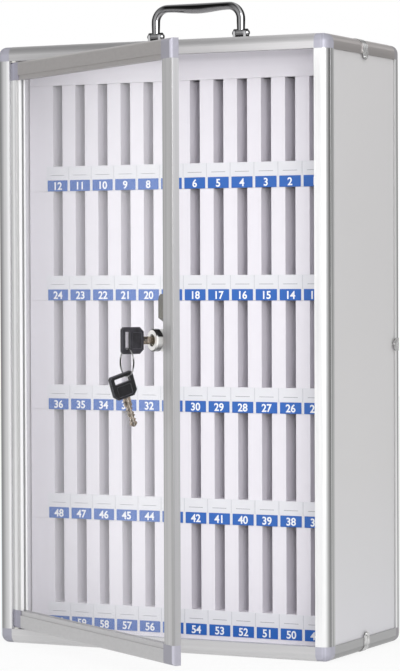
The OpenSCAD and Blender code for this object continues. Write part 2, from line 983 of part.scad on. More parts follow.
// Handle loop: an oval bar swept up one leg, over the grip and down the other
shoulder_r = 15;
grip_ends_t = 8.8;
leg_top_w = 9.8;
leg_foot_d = 7.5;
leg_top_d = 8.6;
grip_ends_d = 9.6;
grip_mid_d = 12;
grip_half = handle_w / 2 - leg_foot_w / 2 - shoulder_r;
function blend(a, b, t) = a + (b - a) * (1 - cos(180 * t)) / 2;
function grip_bulge(x) = blend(grip_t, grip_ends_t, min(1, abs(x) / grip_half)) / 2;
// Each ring is [x, z, direction of its width, half width, half depth]
leg_rings = 4;
arc_rings = 7;
grip_rings = 12;
shoulder_z = grip_z - grip_ends_t / 2 - shoulder_r;
function leg_ring(t) = [
    grip_half + shoulder_r, pivot_z + (shoulder_z - pivot_z) * t, 0,
    blend(leg_foot_w, leg_top_w, t) / 2, blend(leg_foot_d, leg_top_d, t) / 2
];
function arc_ring(t) = [
    grip_half + shoulder_r * cos(90 * t), shoulder_z + shoulder_r * sin(90 * t), 90 * t,
    blend(leg_top_w, grip_ends_t, t) / 2, blend(leg_top_d, grip_ends_d, t) / 2
];
function grip_ring(x) = [
    x, grip_z - grip_bulge(x), 90, grip_bulge(x),
    blend(grip_mid_d, grip_ends_d, min(1, abs(x) / grip_half)) / 2
];
function swap_side(r) = [-r[0], r[1], 180 - r[2], r[3], r[4]];
half_loop = concat(
    [for (i = [0:leg_rings - 1]) leg_ring(i / leg_rings)],
    [for (i = [0:arc_rings - 1]) arc_ring(i / arc_rings)]
);
loop_rings = concat(
    half_loop,
    [for (i = [0:grip_rings]) grip_ring(grip_half * (1 - 2 * i / grip_rings))],
    [for (i = [len(half_loop) - 1:-1:0]) swap_side(half_loop[i])]
);
loop_sides = 20;
function ring_point(r, k) =
    let (a = 360 * k / loop_sides, s = r[3] * cos(a))
    [r[0] + s * cos(r[2]), r[4] * sin(a), r[1] + s * sin(r[2])];
function bar_faces(n, sides) = concat(
    [[for (k = [0:sides - 1]) k]],
    [for (i = [0:n - 2], k = [0:sides - 1], half = [0, 1])
        let (a = i * sides + k, b = i * sides + (k + 1) % sides)
        half == 0 ? [a, a + sides, b] : [b, a + sides, b + sides]],
    [[for (k = [sides - 1:-1:0]) (n - 1) * sides + k]]
);

module handle_loop() {
    color(chrome) from_front() translate([0, box_d / 2, 0]) difference() {
        union() {
            polyhedron(
                points = [for (r = loop_rings, k = [0:loop_sides - 1]) ring_point(r, k)],
                faces = bar_faces(len(loop_rings), loop_sides)
            );
            for (x = [-leg_x, leg_x])
                translate([x - eye_l / 2, 0, pivot_z]) rotate([0, 90, 0]) cylinder(r = eye_r, h = eye_l);
        }
        for (x = [-leg_x, leg_x])
            translate([x - eye_l, 0, pivot_z]) rotate([0, 90, 0])
                cylinder(d = handle_pin_d + 2 * run_clear, h = 2 * eye_l);
    }
}

// Brackets: a plate on the top panel with two lugs that carry a pin
module handle_brackets() {
    module lug() {
        rotate([90, 0, 90]) linear_extrude(lug_t) difference() {
            union() {
                translate([0, pivot_z]) circle(lug_r);
                translate([-lug_r, base_z]) square([2 * lug_r, pivot_z - base_z]);
            }
            translate([0, pivot_z]) circle(d = handle_pin_d);
        }
    }
    width = lug_gap + 2 * lug_t + 3;
    color(chrome) from_front() translate([0, box_d / 2, 0])
        for (x = [-leg_x, leg_x]) translate([x, 0, 0]) {
            translate([lug_gap / 2, 0, 0]) lug();
            translate([-lug_gap / 2 - lug_t, 0, 0]) lug();
            translate([0, 0, base_z]) linear_extrude(base_t) difference() {
                rounded_slot(width, base_l, 2);
                for (y = [-screw_y, screw_y]) translate([0, y]) circle(d = 3.2);
            }
        }
}

// Handle pins: riveted over a bevelled head at both ends
module handle_pins() {
    half = lug_gap / 2 + lug_t;
    color(steel) from_front() translate([0, box_d / 2, 0])
        for (x = [-leg_x, leg_x])
            translate([x, 0, pivot_z]) rotate([0, 90, 0]) {
                cylinder(d = handle_pin_d, h = 2 * half + pin_head_t, center = true);
                for (side = [0, 1]) mirror([0, 0, side]) translate([0, 0, half])
                    cylinder(d1 = pin_head_d, d2 = pin_head_d - 2.5, h = pin_head_t);
            }
}

module handle_screws() {
    color(steel) from_front() translate([0, box_d / 2, base_z + base_t])
        for (x = [-leg_x, leg_x], y = [-screw_y, screw_y]) translate([x, y, 0]) {
            cylinder(d1 = 6, d2 = 4, h = 1.4);
            translate([0, 0, -base_t]) cylinder(d = 3, h = base_t);
        }
}

front_post_left();
front_post_right();
front_rail_top();
front_rail_bottom();
rear_post_left();
rear_post_right();
rear_rail_top();
rear_rail_bottom();
side_rails_left();
side_rails_right();
front_corner_top_left();
front_corner_bottom_left();
front_corner_top_right();
front_corner_bottom_right();
rear_corners();
side_panel_left();
side_panel_right();
top_panel();
bottom_panel();
back_panel();
shelf_1();
shelf_2();
shelf_3();
shelf_4();
shelf_5();
dividers_1();
dividers_2();
dividers_3();
dividers_4();
dividers_5();
label_strips();
top_fascia();
shelf_brackets();
edge_clips();
door_hinge_stile();
door_free_stile();
door_top_rail();
door_bottom_rail();
door_corner_top_hinge();
door_corner_bottom_hinge();
door_corners_free();
door_pane();
hinge_pins();
hinge_washers();
lock_body();
lock_nut();
lock_plug();
lock_cam();
cam_screw();
key_blade();
key_bow();
key_ring();
spare_key_blade();
spare_key_bow();
handle_loop();
handle_brackets();
handle_pins();
handle_screws();
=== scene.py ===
"""Looks for the phone locker cabinet: finishes, slot labels, handle, studio and camera.

Every size is in millimetres in the row frame and is turned into metres by MM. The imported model
holds the cabinet itself, and this script adds what is printed on it and how it is finished.
"""

import math

import bmesh
import bpy
from mathutils import Euler, Matrix, Vector


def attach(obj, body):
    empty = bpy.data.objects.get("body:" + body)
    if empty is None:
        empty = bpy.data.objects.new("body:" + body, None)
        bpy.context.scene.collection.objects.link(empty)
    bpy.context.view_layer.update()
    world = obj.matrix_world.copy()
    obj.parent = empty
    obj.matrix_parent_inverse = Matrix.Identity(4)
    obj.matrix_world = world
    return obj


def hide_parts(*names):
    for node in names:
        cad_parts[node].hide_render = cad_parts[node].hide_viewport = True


MM = 0.001

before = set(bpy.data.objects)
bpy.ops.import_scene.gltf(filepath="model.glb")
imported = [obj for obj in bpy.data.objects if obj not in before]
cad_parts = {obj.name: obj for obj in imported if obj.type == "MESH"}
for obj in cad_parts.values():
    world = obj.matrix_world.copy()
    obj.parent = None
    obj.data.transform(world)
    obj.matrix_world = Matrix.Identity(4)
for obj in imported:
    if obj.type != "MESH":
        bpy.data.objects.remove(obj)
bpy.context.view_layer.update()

# Sizes shared with the solids
BOX_W = 400.0
BOX_D = 200.0
BOX_H = 660.0
RAIL_W = 16.0
STILE_W = 20.0
FRONT_Y = -187.5
ROWS = 5
COLUMNS = 12
COL_PITCH = 28.6
ROW_PITCH = 122.2
FIRST_STRIP_Z = 12.9
STRIP_H = 27.7
STRIP_SET_BACK = 62.0
STRIP_T = 0.6
LABEL_FACE_Y = FRONT_Y + STRIP_SET_BACK - STRIP_T
DOOR_ANGLE = math.radians(34.0)
DOOR_T = 9.0
DOOR_GAP = 1.0
HINGE_X = -BOX_W / 2 + RAIL_W + DOOR_GAP + DOOR_T / 2
HINGE_Y = FRONT_Y + DOOR_T / 2
# The door's outer edges, measured along the open door
HINGE_EDGE = HINGE_X * math.cos(DOOR_ANGLE) - HINGE_Y * math.sin(DOOR_ANGLE) - DOOR_T / 2
FREE_EDGE = HINGE_EDGE + BOX_W - 2 * (RAIL_W + DOOR_GAP)
# Heights of the key ring's two ends
RING_R = 14.1
RING_HIGH = 333.9
RING_LOW = RING_HIGH - 2 * RING_R

# The handle's bar: its width in the loop's plane (W) and its depth (D), at the foot and the top
# of a leg and at the end and the middle of the grip
FOOT_W = 9.0
LEG_TOP_W = 9.8
END_W = 8.8
MID_W = 11.5
FOOT_D = 7.5
LEG_TOP_D = 8.6
END_D = 9.6
MID_D = 12.0
# The loop's width between its legs' outer sides, and how far its top and its pivot stand above
# the cabinet
HANDLE_W = 114.0
HANDLE_H = 48.0
PIVOT_H = 13.0
SHOULDER_R = 15.0
HANDLE_Y = FRONT_Y + BOX_D / 2
PIVOT_Z = BOX_H + PIVOT_H
GRIP_Z = BOX_H + HANDLE_H
GRIP_HALF = HANDLE_W / 2 - FOOT_W / 2 - SHOULDER_R
LEG_X = GRIP_HALF + SHOULDER_R
EYE_R = 4.6
EYE_L = 9.4
EYE_BORE_R = 2.05
EYE_CHAMFER = 0.4

# Directions
UP, DOWN = (0, 0, 1), (0, 0, -1)
RIGHT, LEFT = (1, 0, 0), (-1, 0, 0)
BACK, FRONT = (0, 1, 0), (0, -1, 0)
# Out of the open door's face, and along it from the hinge
DOOR_FACE = (-math.sin(DOOR_ANGLE), -math.cos(DOOR_ANGLE), 0)
DOOR_END = (math.cos(DOOR_ANGLE), -math.sin(DOOR_ANGLE), 0)
# Level, and across the camera's line of sight
VIEW_RIGHT = (0.90, 0.44, 0)
WHITE = (1, 1, 1, 1)


def strip_z(row):
    """Lower edge of a row's label strip; row 0 is the top one."""
    return FIRST_STRIP_Z + (ROWS - 1 - row) * ROW_PITCH


def column_x(column):
    """Middle of a slot; column 0 is the leftmost one."""
    return (column + 0.5 - COLUMNS / 2) * COL_PITCH


# Node helpers

# The noise rarely leaves this range, so ramps and spans end there
NOISE_LOW, NOISE_HIGH = 0.3, 0.7
# How far the softened normal leaves the flat one (as a cosine) where a painted edge starts and
# ends:
# a painted highlight or a painted dark reflection along a sharp edge
PAINTED_EDGE_STARTS, PAINTED_EDGE_ENDS = 0.995, 0.86


def node_tools(material):
    """Short helpers that add and join nodes in one material."""
    material.use_nodes = True
    tree = material.node_tree
    tree.nodes.clear()

    def add(kind, **values):
        node = tree.nodes.new(kind)
        for key, value in values.items():
            if key.startswith("in_"):
                node.inputs[key[3:].replace("_", " ")].default_value = value
            else:
                setattr(node, key, value)
        return node

    def join(a, out, b, inp):
        tree.links.new(a.outputs[out], b.inputs[inp])

    return add, join


def mapped_noise(add, join, scale, detail, stretch=(1, 1, 1), turn=0.0):
    """Noise in the object's own frame, stretched along an axis and turned about Z."""
    coords = add("ShaderNodeTexCoord")
    mapping = add("ShaderNodeMapping")
    mapping.inputs["Scale"].default_value = stretch
    mapping.inputs["Rotation"].default_value = (0, 0, turn)
    noise = add("ShaderNodeTexNoise", in_Scale=scale, in_Detail=detail)
    join(coords, "Object", mapping, "Vector")
    join(mapping, "Vector", noise, "Vector")
    return noise


def tint(add, join, noise, colour, spread):
    """The colour, a little darker and lighter with the noise."""
    ramp = add("ShaderNodeValToRGB")
    low, high = ramp.color_ramp.elements
    low.position, high.position = NOISE_LOW, NOISE_HIGH
    low.color = [c * (1 - spread) for c in colour] + [1]
    high.color = [min(1, c * (1 + spread)) for c in colour] + [1]
    join(noise, "Fac", ramp, "Fac")
    return ramp


def spread_value(add, join, noise, low, high):
    """A value between low and high that follows the noise."""
    span = add("ShaderNodeMapRange")
    span.inputs["From Min"].default_value = NOISE_LOW
    span.inputs["From Max"].default_value = NOISE_HIGH
    span.inputs["To Min"].default_value = low
    span.inputs["To Max"].default_value = high
    join(noise, "Fac", span, "Value")
    return span


def edge_mask(add, join, bevel):
    """1 on sharp edges, where the softened normal leaves the flat one."""
    flat = add("ShaderNodeNewGeometry")
    turn = add("ShaderNodeVectorMath", operation="DOT_PRODUCT")
    join(bevel, "Normal", turn, 0)
    join(flat, "Normal", turn, 1)
    mask = add("ShaderNodeMapRange")
    mask.inputs["From Min"].default_value = PAINTED_EDGE_STARTS
    mask.inputs["From Max"].default_value = PAINTED_EDGE_ENDS
    join(turn, "Value", mask, "Value")
    return mask


def striped(add, join, base, source, output, stops):
    """The base colour, darkened along the source's 0 to 1. Each stop has a share or a colour."""
    stripes = add("ShaderNodeValToRGB")
    ramp = stripes.color_ramp
    while len(ramp.elements) < len(stops):
        ramp.elements.new(0.5)
    for element, (place, share) in zip(ramp.elements, stops):
        element.position = place
        element.color = (*(share if isinstance(share, tuple) else (share,) * 3), 1)
    product = add("ShaderNodeMixRGB", blend_type="MULTIPLY", in_Fac=1.0)
    join(source, output, stripes, "Fac")
    join(base, "Color", product, "Color1")
    join(stripes, "Color", product, "Color2")
    return product


def facing_share(add, join, towards):
    """0 to 1 as the surface turns from facing away from a direction to facing it."""
    surface = add("ShaderNodeNewGeometry")
    turn = add("ShaderNodeVectorMath", operation="DOT_PRODUCT")
    turn.inputs[1].default_value = towards
    share = add("ShaderNodeMapRange")
    share.inputs["From Min"].default_value = -1.0
    join(surface, "Normal", turn, 0)
    join(turn, "Value", share, "Value")
    return share


def place_share(add, join, towards, start, end):
    """0 to 1 as the place moves along a direction, from start to end in millimetres."""
    coords = add("ShaderNodeTexCoord")
    along = add("ShaderNodeVectorMath", operation="DOT_PRODUCT")
    along.inputs[1].default_value = towards
    share = add("ShaderNodeMapRange")
    share.inputs["From Min"].default_value = start * MM
    share.inputs["From Max"].default_value = end * MM
    join(coords, "Object", along, 0)
    join(along, "Value", share, "Value")
    return share


# Finishes
NOISE_DETAIL = 3.0
FINE_SHARE = 0.6
RELIEF_STRENGTH = 0.6
GLOSS_LOW, GLOSS_HIGH = 0.9, 1.12
BEVEL_SAMPLES = 6


def finish(name, colour, rough, metallic=0.0, spread=0.03, grain=900.0, relief=0.02,
           stretch=(1, 1, 1), turn=0.0, edge=0.35, specular=0.5, patch=9.0, streaks=None,
           painted_edge=None, bands=None, turned=(), across=(), bar=False):
    """A finish with cloudy colour, uneven gloss, a fine relief and softened edges.

    grain is the fine noise's scale and relief its depth in millimetres, edge the rounding that
    light finds along sharp edges, and patch the scale of the slow changes over the surface.
    worn is the colour of rubbed edges. bands gives polished metal its stripes: shares of the
    painted_edge is a colour painted along sharp edges, a painted highlight or a painted dark
    reflection there. bands paints reflections onto polished metal: shares of the colour from
    facing the eye to seen edge on. Each entry of turned paints light and shade by how a surface
    faces: a direction and the shares of the colour from facing away from it to facing it; each
    entry of across paints light and shade along a direction: the direction, where it starts and
    ends, and the shares along it. streaks is the scale of drawn streaks, and bar adds the handle's
    painted reflections.
    """
    material = bpy.data.materials.new(name)
    add, join = node_tools(material)
    shader = add("ShaderNodeBsdfPrincipled", in_Metallic=metallic)
    shader.inputs["Specular IOR Level"].default_value = specular
    if streaks:
        clouds = mapped_noise(add, join, streaks, NOISE_DETAIL, stretch, turn)
    else:
        clouds = mapped_noise(add, join, patch, NOISE_DETAIL)
    fine = mapped_noise(add, join, grain, NOISE_DETAIL, stretch, turn)
    colours = tint(add, join, clouds, colour, spread)
    lines = tint(add, join, fine, (1, 1, 1), spread)
    blend = add("ShaderNodeMixRGB", blend_type="MULTIPLY", in_Fac=FINE_SHARE)
    gloss = spread_value(add, join, clouds, rough * GLOSS_LOW, min(1, rough * GLOSS_HIGH))
    bump = add("ShaderNodeBump", in_Strength=RELIEF_STRENGTH, in_Distance=relief * MM)
    out = add("ShaderNodeOutputMaterial")
    join(colours, "Color", blend, "Color1")
    join(lines, "Color", blend, "Color2")
    join(gloss, "Result", shader, "Roughness")
    join(fine, "Fac", bump, "Height")
    base = blend
    if bands:
        facing = add("ShaderNodeLayerWeight", in_Blend=0.5)
        base = striped(add, join, base, facing, "Facing", bands)
    for towards, stops in turned:
        base = striped(add, join, base, facing_share(add, join, towards), "Result", stops)
    for towards, start, end, stops in across:
        place = place_share(add, join, towards, start, end)
        base = striped(add, join, base, place, "Result", stops)
    if bar:
        base = bar_stripes(add, join, base)
    if edge:
        bevel = add("ShaderNodeBevel", samples=BEVEL_SAMPLES, in_Radius=edge * MM)
        join(bevel, "Normal", bump, "Normal")
        # Paints a highlight or a dark reflection along sharp edges
        if painted_edge:
            mask = edge_mask(add, join, bevel)
            painted_edges = add("ShaderNodeMixRGB", in_Color2=(*painted_edge, 1))
            join(mask, "Result", painted_edges, "Fac")
            join(base, "Color", painted_edges, "Color1")
            base = painted_edges
    join(base, "Color", shader, "Base Color")
    join(bump, "Normal", shader, "Normal")
    join(shader, "BSDF", out, "Surface")
    return material


ACRYLIC_IOR = 1.49
# The pane's smears: scale, detail and stretch, and how far they change its colour and clearness
SMEARS = (5.0, 5.0, (1, 1, 0.35))
SMEAR_TINT = 0.015
SMEAR_LOW, SMEAR_HIGH = 0.93, 1.07
PANE_ROUGH = (0.05, 0.10)


def clear_sheet(name, veil, alpha, sheen):
    """A clear polished sheet, veiled by faint smears, by the white room that it mirrors, and by a
    glow that paints more of that reflection.
    """
    material = bpy.data.materials.new(name)
    add, join = node_tools(material)
    shader = add("ShaderNodeBsdfPrincipled", in_IOR=ACRYLIC_IOR)
    smears = mapped_noise(add, join, *SMEARS)
    colour = tint(add, join, smears, veil, SMEAR_TINT)
    # The sheet glows: a painted reflection of the white room
    shader.inputs["Emission Strength"].default_value = sheen
    clearness = spread_value(add, join, smears, alpha * SMEAR_LOW, alpha * SMEAR_HIGH)
    gloss = spread_value(add, join, smears, *PANE_ROUGH)
    out = add("ShaderNodeOutputMaterial")
    join(colour, "Color", shader, "Base Color")
    join(colour, "Color", shader, "Emission Color")
    join(clearness, "Result", shader, "Alpha")
    join(gloss, "Result", shader, "Roughness")
    join(shader, "BSDF", out, "Surface")
    return material


# Painted reflections on the handle's bar, of what it mirrors: from facing down to up on the grip,
# and left to right on a leg
GRIP_STRIPES = [(0.0, 0.60), (0.20, 0.45), (0.36, 0.30), (0.43, 0.012), (0.74, 0.008),
                (0.80, 0.30), (0.92, 0.62), (1.0, 0.80)]
LEG_STRIPES = [(0.0, 0.01), (0.14, 0.02), (0.22, 0.30), (0.40, 0.24), (0.46, 0.02), (0.53, 0.80),
               (0.64, 0.90), (0.72, 0.10), (0.80, 0.01), (1.0, 0.02)]

# The upright stripes are full this far inside a leg's middle
BLEND_SHORT = 1.5


def bar_stripes(add, join, base):
    """The handle's painted reflections: level stripes on the grip, upright ones on the legs."""
    level = striped(add, join, base, facing_share(add, join, UP), "Result", GRIP_STRIPES)
    upright = striped(add, join, base, facing_share(add, join, VIEW_RIGHT), "Result", LEG_STRIPES)
    coords = add("ShaderNodeTexCoord")
    split = add("ShaderNodeSeparateXYZ")
    along = add("ShaderNodeMath", operation="ABSOLUTE")
    share = add("ShaderNodeMapRange", interpolation_type="SMOOTHSTEP")
    share.inputs["From Min"].default_value = GRIP_HALF * MM
    share.inputs["From Max"].default_value = (LEG_X - BLEND_SHORT) * MM
    mix = add("ShaderNodeMixRGB")
    join(coords, "Object", split, "Vector")
    join(split, "X", along, 0)
    join(along, 0, share, "Value")
    join(share, "Result", mix, "Fac")
    join(level, "Color", mix, "Color1")
    join(upright, "Color", mix, "Color2")
    return mix


# The profiles' aluminium, and a darker copy of it that paints shade on the open door's rails
ALUMINIUM = (0.60, 0.595, 0.60)
SHADED_DOOR_ALUMINIUM = (0.47, 0.465, 0.47)
# Scales of a drawn profile's noise across its length and along it
ACROSS, ALONG = 1.0, 0.012

# The tables below hold shares of a colour, round a profile as its skin turns and in lines along
# it. They stand for the dark and bright things that bare metal mirrors in the photograph's studio.

# Painted reflections on the left front post, round its corner and across its face
POST_ROUNDING = [(0.04, 0.48), (0.20, 0.50), (0.33, 0.72), (0.41, 0.88), (0.50, 1.0), (0.68, 0.9),
                 (0.84, 0.62), (0.95, 0.66), (1.0, 1.0)]
LEFT_LINES = [(0.0, 0.58), (0.30, 0.53), (0.44, 0.52), (0.56, 0.58), (0.64, 0.65), (0.72, 0.68),
              (0.80, 0.74), (0.88, 0.88), (0.95, 0.96), (1.0, 1.0)]
# Painted reflections on the right front post, round its corner and over its flat side, with a
# painted dark band on the side beside the rounding
LIT_ROUNDING = [(0.0, 0.62), (0.45, 0.94), (0.53, 1.0), (0.70, 0.84), (0.80, 0.71), (0.86, 0.56),
                (0.92, 0.36), (0.96, 0.27), (0.985, 0.26), (1.0, 0.55)]
LIT_SIDE = [(0.0, 1.0), (0.54, 1.0), (0.58, 0.52), (0.70, 0.66), (0.85, 0.95), (1.0, 1.0)]
# Painted reflections on the rear posts, round their corner and over their side, with a painted
# dark line along it
REAR_ROUNDING = [(0.0, 0.5), (0.5, 0.75), (0.84, 0.45), (0.93, 0.28), (0.97, 0.36), (0.99, 0.62),
                 (1.0, 1.0)]
REAR_SIDE = [(0.0, 1.0), (0.22, 1.0), (0.32, 0.42), (0.5, 0.42), (0.62, 0.8), (1.0, 1.0)]
# Painted reflections on the top front rail, round its edge, and painted shade that lifts from its
# left end to its right end
TOP_ROUNDING = [(0.0, 0.6), (0.49, 1.0), (0.51, 0.93), (0.57, 0.80), (0.65, 0.73), (0.76, 0.84),
                (0.86, 0.98), (1.0, 0.98)]
TOP_LINES = [(0.0, 0.62), (0.35, 0.60), (0.50, 0.72), (0.66, 0.79), (0.89, 0.98), (1.0, 1.0)]
# Painted light and shade on the side rails, round their edge and by height: tinted cooler at the
# bottom, with a painted highlight along the top edge
DEEP_ROUNDING = [(0.0, 0.62), (0.35, 0.72), (0.5, 1.0), (1.0, 0.92)]
BOTTOM_TONE = (0.67, 0.717, 0.735)
DEEP_HEIGHTS = [(0.0, BOTTOM_TONE), (0.1, BOTTOM_TONE), (0.9, 0.65), (0.977, 0.63), (0.986, 0.72),
                (0.993, 0.92), (1.0, 1.0)]
# Painted reflections on the door's free stile, from its face round to its end and in lines across
# it, and painted light that grows up its end
DOOR_ROUNDING = [(0.50, 1.0), (0.60, 0.80), (0.86, 0.62), (0.985, 0.70), (1.0, 1.0)]
FREE_LINES = [(0.0, 0.92), (0.08, 0.79), (0.20, 0.95), (0.30, 1.0), (0.40, 0.84), (0.50, 0.93),
              (0.65, 1.0), (0.75, 0.94), (0.90, 1.0), (1.0, 1.0)]
END_HEIGHTS = [(0.0, 0.72), (0.4, 0.80), (0.62, 0.84), (0.95, 1.0)]
# Painted reflections in lines across the door's hinge stile, and across the corner pieces above
# and below it
HINGE_LINES = [(0.0, 0.83), (0.06, 0.80), (0.14, 0.70), (0.22, 0.54), (0.32, 0.60), (0.43, 0.87),
               (0.54, 0.83), (0.67, 0.70), (0.80, 0.59), (0.93, 0.57), (0.98, 0.75), (1.0, 1.0)]
CAP_LINES = [(0.0, 0.85), (0.30, 0.80), (0.38, 0.90), (0.45, 1.0), (0.55, 0.92), (0.62, 0.86),
             (1.0, 0.84)]
# The cabinet's front corners: painted highlights round their upright axis, painted light and shade
# from low to high, and painted shade from left to right
CORNER_HIGHLIGHTS = [(0.0, 0.82), (0.28, 0.86), (0.33, 1.0), (0.38, 0.86), (0.46, 0.88), (0.51, 1.0),
                  (0.56, 0.87), (0.75, 0.83), (1.0, 0.78)]
CORNER_LIGHT = [(0.0, 0.9), (0.5, 1.0), (0.62, 0.88), (1.0, 0.84)]
CORNER_SIDES = [(0.0, 0.76), (0.5, 0.82), (0.9, 1.0)]
# Painted shade on the face of the door's free corners and a painted highlight on their rounding,
# from the face round to the end
FREE_ROUNDING = [(0.5, 0.56), (0.56, 0.72), (0.66, 1.0), (0.86, 1.0), (0.97, 0.82), (1.0, 0.82)]
# Painted light on the outer panels by height: brightest and coolest near the floor
PANEL_HEIGHTS = [(0.03, (0.98, 0.98, 1.0)), (0.13, (0.93, 0.93, 0.93)),
                 (0.30, (0.89, 0.885, 0.87)), (1.0, (0.885, 0.875, 0.862))]
# Painted shade on the board above the top shelf, darkest at the top, and how far below the top it
# starts and ends
FASCIA_HEIGHTS = [(0.0, 0.94), (0.45, 1.0), (0.8, 1.0), (1.0, 0.88)]
FASCIA_LOW, FASCIA_HIGH = 38, 16
# Painted reflections on plated sheet, the lock's nickel and the ring's wire, from facing down to
# facing up or by height
CLIP_STRIPES = [(0.0, 0.25), (0.2, 0.7), (0.4, 0.5), (0.55, 1.0), (0.7, 0.9), (0.85, 0.3),
                (1.0, 0.6)]
NICKEL_STRIPES = [(0.0, 0.35), (0.16, 0.10), (0.26, 0.45), (0.38, 1.0), (0.62, 1.0),
                  (0.68, 0.012), (0.95, 0.01)]
WIRE_HEIGHTS = [(0.0, 1.0), (0.26, 0.9), (0.36, 0.05), (0.60, 0.04), (0.70, 0.9), (1.0, 0.6)]
# Painted reflections on small polished metal, from facing the eye to seen edge on
PLATED = [(0.0, 1.0), (0.34, 0.95), (0.52, 0.45), (0.70, 0.12), (0.86, 0.5)]
FITTING = [(0.0, 0.62), (0.20, 0.50), (0.32, 0.16), (0.50, 0.03), (0.92, 0.02)]
WIRE = [(0.0, 0.9), (0.5, 0.6), (0.8, 0.03)]
# The painted dark reflection along the chrome fittings' sharp edges
BLACK_EDGE = (0.015, 0.015, 0.018)


def brushed(name, lengthwise, turn=0.0, colour=ALUMINIUM, metallic=0.75, turned=(), across=()):
    """Satin anodised profile, with drawing lines along its length."""
    stretch = tuple(ALONG if axis == lengthwise else ACROSS for axis in "xyz")
    return finish(name, colour, 0.33, metallic=metallic, spread=0.04, grain=1400, relief=0.012,
                  stretch=stretch, turn=turn, edge=0.25, streaks=330, turned=turned,
                  across=across)


def moulded(name, colour, metallic=0.2, spread=0.03, turned=(), across=()):
    """Grained plastic in the metal's colour, as the corner pieces are made of."""
    return finish(name, colour, 0.42, spread=spread, grain=1600, relief=0.03, edge=0.5,
                  metallic=metallic, turned=turned, across=across)


def coated(name, colour, across=()):
    """Smooth satin coating on sheet."""
    return finish(name, colour, 0.45, spread=0.012, grain=1300, relief=0.01, edge=0.3, patch=6.0,
                  across=across)


